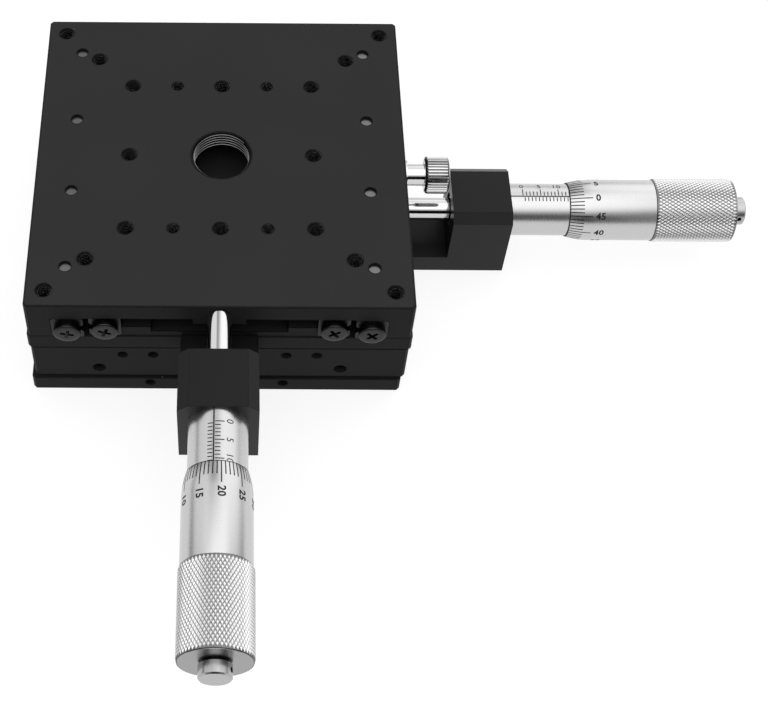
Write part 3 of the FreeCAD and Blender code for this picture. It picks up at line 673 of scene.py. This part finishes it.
def thimbleCap(key, place):
    # the button on the thimble's end, with painted shade on its neck and a cross hole for a pin spanner
    c = cap
    end = thimble["length"]
    lip = end + c["neck"]
    outline = [(end - c["sunk"], 0), (end - c["sunk"], c["neckRadius"]), (lip, c["neckRadius"]),
               (lip, c["radius"] - c["lip"]), (lip + c["lip"], c["radius"]),
               (end + c["height"] - c["chamfer"], c["radius"]),
               (end + c["height"], c["radius"] - c["chamfer"]), (end + c["height"], 0)]
    button = newHost(lathe("cap", outline), "cap")
    drill = bmesh.new()
    bmesh.ops.create_cone(drill, segments=c["pinHoleSides"], cap_ends=True, radius1=c["pinHole"],
                          radius2=c["pinHole"], depth=3 * c["radius"])   # right through
    turn = Matrix.Rotation(math.radians(-c["turn"][key]), 4, "X")
    drill.transform(Matrix.Translation((end + c["holeAt"], 0, 0)) @ turn)
    mesh = carved(button, newHost(rawMesh(drill, "drill"), "drill"))
    placePiece(mesh, key + "ThimbleCapButton", place, stages[key]["screw"], capChrome[key],
               stands=[key + "_thimble_cap"])


def thimbleParts(key):
    t = thimble
    reading = stages[key]["reading"]
    place = axisPlace(key, (0, -1, 0), barrel["height"]) @ Matrix.Translation(
        (barrel["zeroLine"] + reading, 0, 0))
    root = t["gripRadius"] - t["toothHeight"]
    rise = t["radius"] - t["edgeRadius"]
    shares = [step / t["flareSteps"] for step in range(t["flareSteps"] + 1)]
    flare = [(t["flare"] * share, t["radius"] - rise * (1 - share) ** 2) for share in shares]
    shoulder = [(t["shoulder"] - t["shoulderRound"] * (1 - math.sin(a)),
                 t["radius"] - t["shoulderRound"] * (1 - math.cos(a))) for a in quarterRound]
    chamferAt = t["length"] - t["endChamfer"][0]
    outline = [(0.0, t["boreRadius"])] + flare + shoulder
    outline += [(t["grip"], t["radius"] - t["shoulderRound"] - t["shoulderStep"]),
                (t["grip"], root - t["coreWall"]), (chamferAt, root - t["coreWall"]),
                (chamferAt, t["endRadius"] + t["endChamfer"][1]), (t["length"], t["endRadius"]),
                (t["length"], t["seatRadius"]), (t["boreDepth"], t["seatRadius"]),
                (t["boreDepth"], t["boreRadius"])]
    placePiece(lathe("thimble", outline, t["segments"]), key + "ThimbleBody", place, stages[key]["screw"],
               satinChrome[key], stands=[key + "_thimble"])

    half = (t["length"] - t["gripShort"] - t["grip"]) / (t["rings"] + 1)
    tooth = diamondTooth(t, half)
    grip = grow(toothRing, {"Tooth": tooth, "Around": t["around"], "Rings": t["rings"],
                            "First Ring": t["grip"] + half, "Ring Step": half,
                            "Radius": root, "Finish": knurled[key]})
    bpy.data.objects.remove(tooth)
    near = t["grip"] + t["coreFrom"]
    far = t["length"] - t["coreShort"]
    inside = root - t["coreSkin"]
    core = lathe("gripCore", [(near, root), (far, root), (far, inside), (near, inside)], 2 * t["around"])
    placePiece(joinMeshes("grip", [grip, core]), key + "ThimbleGrip", place, stages[key]["screw"],
               knurled[key], sharpAngle=10)
    thimbleCap(key, place)

    wrap = {"Radius": t["radius"], "Flare Length": t["flare"], "Flare Rise": rise, "Finish": ink}
    step = 2 * math.pi * t["radius"] / t["marks"]
    value = (reading / barrel["lead"] * t["marks"]) % t["marks"]
    first = t["radius"] * math.radians(barrel["datumAngle"]) - value * step
    depth = sleeveMarks["depth"]
    proud = sleeveMarks["proud"]

    def ringOfMarks(length, every):
        return grow(barrelMarks, {**wrap, "Count": t["marks"] // every,
                                  "Mark Size": (length, t["markWidth"], depth),
                                  "First Mark": (t["markFrom"] + length / 2, first, proud - depth / 2),
                                  "Step": (0.0, step * every, 0.0)})

    parts = [ringOfMarks(t["shortMark"], 1), ringOfMarks(t["longMark"], barrel["numeralEvery"])]
    # painted shadow: a dark ring round the thimble's edge, where the gap to the sleeve lies in shade, with
    # the flare's slope there
    inside = t["boreRadius"] + t["rimGap"]
    outside = t["edgeRadius"] + proud
    rim = [(-proud, inside), (-proud, outside),
           (t["rimShadowWidth"], outside + 2 * rise * t["rimShadowWidth"] / t["flare"]), (t["rimShadowWidth"], inside)]
    parts.append(lathe("rim", rim, t["segments"]))
    for number in range(0, t["marks"], barrel["numeralEvery"]):
        flat = numeralMesh(str(number), t["numeralSize"], t["numeralBold"], t["numeralFrom"], 0.0)
        flat.transform(Matrix.Translation((0, first + number * step, 0)))
        parts.append(grow(barrelNumerals, wrap, flat))
    placePiece(joinMeshes("graduation", parts), key + "ThimbleGraduation", place, stages[key]["screw"],
               ink)


for key in stages:
    sleeveGraduation(key)
    thimbleParts(key)
print("micrometers done")


# Lock screws: straight-knurled heads

lockScrew = {"height": 12.0, "shaftFrom": 45.12, "shaftRadius": 3.0, "head": 55.8, "headEnd": 62.5,
             "headRadius": 5.2, "chamfer": 0.7, "toothHeight": 0.38, "around": 38,
             "toothFoot": 0.98, "toothTop": 0.36,   # shares of the tooth's room and of its foot
             "toothShort": 0.25, "toothSunk": 0.08,
             "rimSteps": ((0.0, 0.55), (0.25, 0.15), (0.5, 0.0))}   # in from the head's end, and down
# painted shade between the teeth of the head
lockGrooveShade = {"root": 0.30, "top": 0.03, "shade": 0.008}


def straightTooth(settings):
    # a ridge along x with sloping ends
    root = settings["headRadius"] - settings["toothHeight"]
    halfFoot = math.pi * root / settings["around"] * settings["toothFoot"]
    halfTop = halfFoot * settings["toothTop"]
    half = (settings["headEnd"] - settings["head"]) / 2
    foot = half - settings["toothShort"]
    top = half - settings["chamfer"]
    shell = bmesh.new()
    rings = []
    for x, wide, height in ((-foot, halfFoot, 0.0), (-top, halfTop, settings["toothHeight"]),
                            (top, halfTop, settings["toothHeight"]), (foot, halfFoot, 0.0)):
        rings.append([shell.verts.new((x, side * wide, height)) for side in (-1, 1)])
    sunk = -settings["toothSunk"]
    low = [[shell.verts.new((ring[0].co.x, side * halfFoot, sunk)) for side in (-1, 1)] for ring in rings]
    for row in (rings, low):
        for first, second in zip(row, row[1:]):
            shell.faces.new((first[0], second[0], second[1], first[1]))
    for first, second, under, beyond in zip(rings, rings[1:], low, low[1:]):
        for side in (0, 1):
            shell.faces.new((first[side], second[side], beyond[side], under[side]))
    for end in (0, -1):
        shell.faces.new((rings[end][0], rings[end][1], low[end][1], low[end][0]))
    return newHost(meshFrom(shell, "straightTooth"), "straightTooth")


def lockParts(key):
    # it lies across the table's slide, so its lines run about the other stage's axis
    s = lockScrew
    stage = stages[key]
    across = "y" if key == "x" else "x"
    place = axisPlace(key, (1, 0, 0), s["height"], stage["tableShift"])
    root = s["headRadius"] - s["toothHeight"]
    near = [(s["head"] + inward, root - down) for inward, down in s["rimSteps"]]
    far = [(s["headEnd"] - inward, root - down) for inward, down in reversed(s["rimSteps"])]
    shaft = [(s["shaftFrom"], 0), (s["shaftFrom"], s["shaftRadius"]), (s["head"], s["shaftRadius"])]
    outline = shaft + near + far + [(s["headEnd"], 0)]
    placePiece(lathe("lockScrew", outline), key + "LockScrewBody", place, stage["lock"],
               brightChrome[across], stands=[key + "_lock_screw"])
    centre = (tableCentre(key)[stage["axis"]], stage["shift"][2] + s["height"])
    # bright chrome with painted shade between the head's teeth
    knurl = turnedMetal("lockKnurl" + key.upper(), brightLook, stages[across]["axis"],
                        grooveShade=grooveAt(centre, s["headRadius"], lockGrooveShade))
    tooth = straightTooth(s)
    teeth = grow(toothRing, {"Tooth": tooth, "Around": s["around"], "Rings": 1,
                             "First Ring": (s["head"] + s["headEnd"]) / 2, "Ring Step": 1.0,
                             "Radius": root, "Finish": knurl})
    bpy.data.objects.remove(tooth)
    placePiece(teeth, key + "LockScrewTeeth", place, stage["lock"], knurl,
               sharpAngle=15)


for key in stages:
    lockParts(key)
print("lock screws done")


# Stop screws in the rail ends: low heads with a cross recess

stopScrew = {"height": 10.0, "end": 50.0, "baseRail": 29.65, "tableRail": 39.35, "radius": 3.5,
             "headHeight": 2.0, "edge": 0.45, "crown": 0.02, "crownFrom": 0.6, "shank": 1.5,
             "shankLength": 7.0, "slotLength": 4.3, "slotWidth": 0.95, "slotDepth": 1.1,
             "segments": 48, "slotAbove": 0.4,
             "deepLength": 0.45, "deepWidth": 0.7,   # shares of the slot at its bottom
             "turns": {-1: (38, 4), 1: (63, 20)}}   # how the screws at each end happen to stand


def crossHead(settings):
    s = settings
    edge = [(s["headHeight"] - s["edge"] * (1 - math.sin(a)), s["radius"] - s["edge"] * (1 - math.cos(a)))
            for a in coarseRound]
    outline = [(-s["shankLength"], 0), (-s["shankLength"], s["shank"]), (0, s["shank"]),
               (0, s["radius"])] + edge
    outline += [(s["headHeight"] - s["crown"], s["radius"] * s["crownFrom"]), (s["headHeight"], 0)]
    head = newHost(lathe("crossHead", outline, s["segments"]), "crossHead")
    cutter = bmesh.new()
    for turn in (0, 90):
        cube = bmesh.ops.create_cube(cutter, size=1.0)["verts"]
        for vertex in cube:
            deep = vertex.co.x < 0
            level = -s["slotDepth"] if deep else s["slotAbove"]
            length = s["slotLength"] * (s["deepLength"] if deep else 1.0)
            width = s["slotWidth"] * (s["deepWidth"] if deep else 1.0)
            vertex.co = Vector((s["headHeight"] + level, vertex.co.y * length, vertex.co.z * width))
            vertex.co.rotate(Matrix.Rotation(math.radians(turn), 3, "X"))
    bmesh.ops.recalc_face_normals(cutter, faces=cutter.faces)
    mesh = carved(head, newHost(rawMesh(cutter, "slots"), "slots"), crossing=True)
    mesh.transform(Matrix.Rotation(math.radians(-90), 4, "Y"))   # axis from x to z
    return newHost(mesh, "crossHeadShape")


def stopScrews(key):
    s = stopScrew
    shape = crossHead(s)
    for rail, body, node, slide in (("baseRail", "base", "_base_stop_screws", 0.0),
                                    ("tableRail", "table", "_table_stop_screws",
                                     stages[key]["tableShift"])):
        parts = []
        for end, turns in s["turns"].items():
            # screw axes point out of the rail ends: z of the shape becomes the stage's y
            tip = Matrix.Rotation(math.radians(-90 * end), 4, "X")
            flat = pointMesh([(side * s[rail], 0, 0) for side in (-1, 1)], [t + s[rail] for t in turns])
            ring = grow(repeatAtPoints, {"Shape": shape, "Finish": finishes["black_screw"]}, flat)
            ring.transform(Matrix.Translation((0, end * s["end"] - slide, s["height"])) @ tip)
            parts.append(ring)
        placePiece(joinMeshes("stopScrews", parts), key + rail[0].upper() + rail[1:] + "StopScrews",
                   stagePlace(key), stages[key][body], finishes["black_screw"],
                   stands=[key + node])
    bpy.data.objects.remove(shape)


for key in stages:
    stopScrews(key)
print("stop screws done")


# Threads in the holes of each table

threads = {"through": 5.6, "start": 0.35,   # the web's thickness, and the bare turn at each end
           "m4": {"radius": 2.0, "pitch": 0.7, "steps": 28}, "m3": {"radius": 1.5, "pitch": 0.5, "steps": 24},
           "m4Corner": {"radius": 2.0, "pitch": 0.7, "steps": 28, "depth": 5.0},
           "centre": {"radius": 8.0, "pitch": 1.0, "steps": 64}}
holes = {"m4Corner": [(x, y) for x in (-45, 45) for y in (-45, 45)],
         "m4": [(x, y) for x in (-35, 35) for y in (-35, 35)]
         + [(x, y) for x in (-25, 0, 25) for y in (-25, 25)] + [(-25, 0), (25, 0)],
         "m3": [(x, y) for x in (-12.5, 12.5) for y in (-25, 25)],
         "centre": [(0, 0)]}
centreGrooveShade = {"root": 0.40, "top": 0.53, "shade": 0.004}   # painted shade in the thread's hollows; the crest points inwards


def tableThreads(key):
    # painted highlight on the crests, painted shade in the hollows
    crest = turnedMetal("centreThread" + key.upper(), crestGlintLook, 2,
                        grooveShade=grooveAt(tableCentre(key), threads["centre"]["radius"], centreGrooveShade))
    small = []
    for size, places in holes.items():
        tap = threads[size]
        finish = crest if size == "centre" else thread
        depth = tap.get("depth", threads["through"])
        ridge = grow(threadRidge, {"Radius": tap["radius"], "Pitch": tap["pitch"],
                                   "Length": depth - 2 * threads["start"],
                                   "Turn Steps": tap["steps"], "Finish": finish})
        shape = newHost(ridge, "ridge")
        low = stageHeight - depth + threads["start"]
        ridges = grow(repeatAtPoints, {"Shape": shape, "Finish": finish},
                      pointMesh([(x, y - stages[key]["tableShift"], low) for x, y in places]))
        bpy.data.objects.remove(shape)
        if size == "centre":
            placePiece(ridges, key + "CentreThread", stagePlace(key), stages[key]["table"], finish,
                       sharpAngle=20)
        else:
            small.append(ridges)
    placePiece(joinMeshes("threads", small), key + "TableThreads", stagePlace(key),
               stages[key]["table"], thread, sharpAngle=20)


for key in reversed(stages):
    tableThreads(key)
print("threads done")


# Return springs: real coils with a loop round each pin, stretched by the table

spring = {"offset": 13.0, "height": 10.9, "from": -30.0, "to": 31.0, "radius": 1.85, "wire": 0.35,
          "loop": 1.45, "pitch": 0.95, "sides": 8, "turnSteps": 20,
          "loopPitch": 0.02, "loopRise": 0.0199, "loopSteps": 28}   # a loop is one turn that hardly rises


def returnSprings(key):
    s = spring
    start = s["from"]
    stop = s["to"] - stages[key]["tableShift"]
    coilFrom = start + s["loop"] + s["wire"]
    coilTo = stop - s["loop"] - s["wire"]
    wire = finishes["spring_wire"]
    common = {"Wire": s["wire"], "Sides": s["sides"], "Finish": wire}
    body = grow(coil, {**common, "Radius": s["radius"], "Pitch": s["pitch"],
                       "Length": coilTo - coilFrom, "Turn Steps": s["turnSteps"]})
    body.transform(Matrix.Translation((0, coilFrom, 0)) @ Matrix.Rotation(math.radians(-90), 4, "X"))
    loops = []
    for y in (start, stop):
        ring = grow(coil, {**common, "Radius": s["loop"], "Pitch": s["loopPitch"],
                           "Length": s["loopRise"], "Turn Steps": s["loopSteps"]})
        ring.transform(Matrix.Translation((0, y, 0)))
        loops.append(ring)
    shape = newHost(joinMeshes("spring", [body] + loops), "spring")
    both = grow(repeatAtPoints, {"Shape": shape, "Finish": wire},
                pointMesh([(side * s["offset"], 0, s["height"]) for side in (-1, 1)]))
    bpy.data.objects.remove(shape)
    place = stagePlace(key)
    both.transform(place)
    for face in both.polygons:
        face.use_smooth = True
    piece = newHost(both, key + "ReturnSprings")
    both.materials.clear()
    both.materials.append(wire)
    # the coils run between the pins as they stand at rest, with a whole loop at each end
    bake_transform(piece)
    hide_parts(key + "_return_springs")


for key in stages:
    returnSprings(key)
print("springs done")


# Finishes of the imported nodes

for name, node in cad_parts.items():
    packed = node.data.materials[0].name.split(".")[0]
    if name.endswith("table_rail_screws"):
        finish = railScrew
    elif name == "y_table_plate":
        finish = paintedLitTop
    elif packed in finishes:
        finish = finishes[packed]
    else:
        along = name[0]
        if "lock" in name:
            along = "y" if along == "x" else "x"
        finish = (satinChrome if packed == "satin_chrome" else brightChrome)[along]
    for index in range(len(node.material_slots)):
        node.material_slots[index].material = finish
print("finishes on the packed nodes")


# Camera: the photograph's viewpoint, solved on the hole pattern. The focal length and the centre
# are in the photograph's pixels, the clip in metres.
view = {"place": (4.02, -271.81, 367.05), "right": (0.999977, 0.005536, 0.003878),
        "down": (0.006759, -0.814378, -0.580296), "ahead": (-0.000054, 0.580309, -0.814397),
        "focal": 1559.2, "centre": (232.0, 269.4), "image": (768, 708), "sensor": 36.0,
        "clip": (0.01, 60.0)}
eye = bpy.data.cameras.new("eye")
width, height = view["image"]
eye.sensor_width = view["sensor"]
eye.lens = view["focal"] / width * view["sensor"]
eye.shift_x = (width / 2 - view["centre"][0]) / width
eye.shift_y = (view["centre"][1] - height / 2) / width
eye.clip_start, eye.clip_end = view["clip"]
camera = bpy.data.objects.new("eye", eye)
bpy.context.scene.collection.objects.link(camera)
axes = Matrix((Vector(view["right"]), -Vector(view["down"]), -Vector(view["ahead"]))).transposed()
camera.matrix_world = Matrix.Translation(Vector(view["place"]) * mm) @ axes.to_4x4()
bpy.context.scene.camera = camera
bpy.context.scene.view_settings.view_transform = "Standard"

# Floor and light: the floor's size is in metres, aims are directions, widths are degrees
studio = {"floorSize": 40.0, "floorColour": 0.17, "floorGlow": 0.85, "floorRoughness": (0.6, 0.7),
          "floorNoise": 3.0, "sky": 0.29,
          "softboxes": [
              {"aim": (0.0, -0.174, 0.985), "inner": 15, "outer": 51, "bright": 1.54},    # overhead
              {"aim": (0.0, 0.949, 0.314), "inner": 13, "outer": 42, "bright": 0.20},     # behind
              {"aim": (0.554, 0.665, 0.500), "inner": 11, "outer": 43, "bright": 1.26},   # right
              {"aim": (-0.681, 0.500, 0.535), "inner": 20, "outer": 28, "bright": 0.81},  # left
              {"aim": (0.0, -0.963, 0.268), "inner": 16, "outer": 20, "bright": -0.29}]}  # dark front
slab = bmesh.new()
bmesh.ops.create_grid(slab, x_segments=1, y_segments=1, size=studio["floorSize"] / 2)
floorMesh = rawMesh(slab, "floor")
floor = newHost(floorMesh, "floor")
floorFinish, floorTree, floorShader, floorPlace = newFinish("paleFloor", 0.0, (0.8, 0.8, 0.8))
floorNoise = addNode(floorTree, "ShaderNodeTexNoise", {"Vector": floorPlace, "Scale": studio["floorNoise"]})
floorRough = spread(floorTree, floorNoise.outputs["Fac"], *studio["floorRoughness"])
floorTree.links.new(floorRough, floorShader.inputs["Roughness"])
floorShader.inputs["Base Color"].default_value = (*[studio["floorColour"]] * 3, 1)
floorShader.inputs["Emission Color"].default_value = (1, 1, 1, 1)
floorShader.inputs["Emission Strength"].default_value = studio["floorGlow"]
floorMesh.materials.append(floorFinish)

world = bpy.data.worlds.new("softStudio")
bpy.context.scene.world = world
world.use_nodes = True
skyTree = world.node_tree
ahead = addNode(skyTree, "ShaderNodeTexCoord").outputs["Generated"]
sky = studio["sky"]
for box in studio["softboxes"]:
    aim = addNode(skyTree, "ShaderNodeVectorMath", {0: ahead, 1: Vector(box["aim"]).normalized()},
                  operation="DOT_PRODUCT").outputs["Value"]
    soft = addNode(skyTree, "ShaderNodeMapRange", {
        "Value": aim, "From Min": math.cos(math.radians(box["outer"])),
        "From Max": math.cos(math.radians(box["inner"])), "To Max": box["bright"]},
        interpolation_type="SMOOTHSTEP").outputs[0]
    sky = calc(skyTree, "ADD", soft, sky)
skyTree.nodes["Background"].inputs["Color"].default_value = (1, 1, 1, 1)
skyTree.links.new(sky, skyTree.nodes["Background"].inputs["Strength"])
print("studio done")
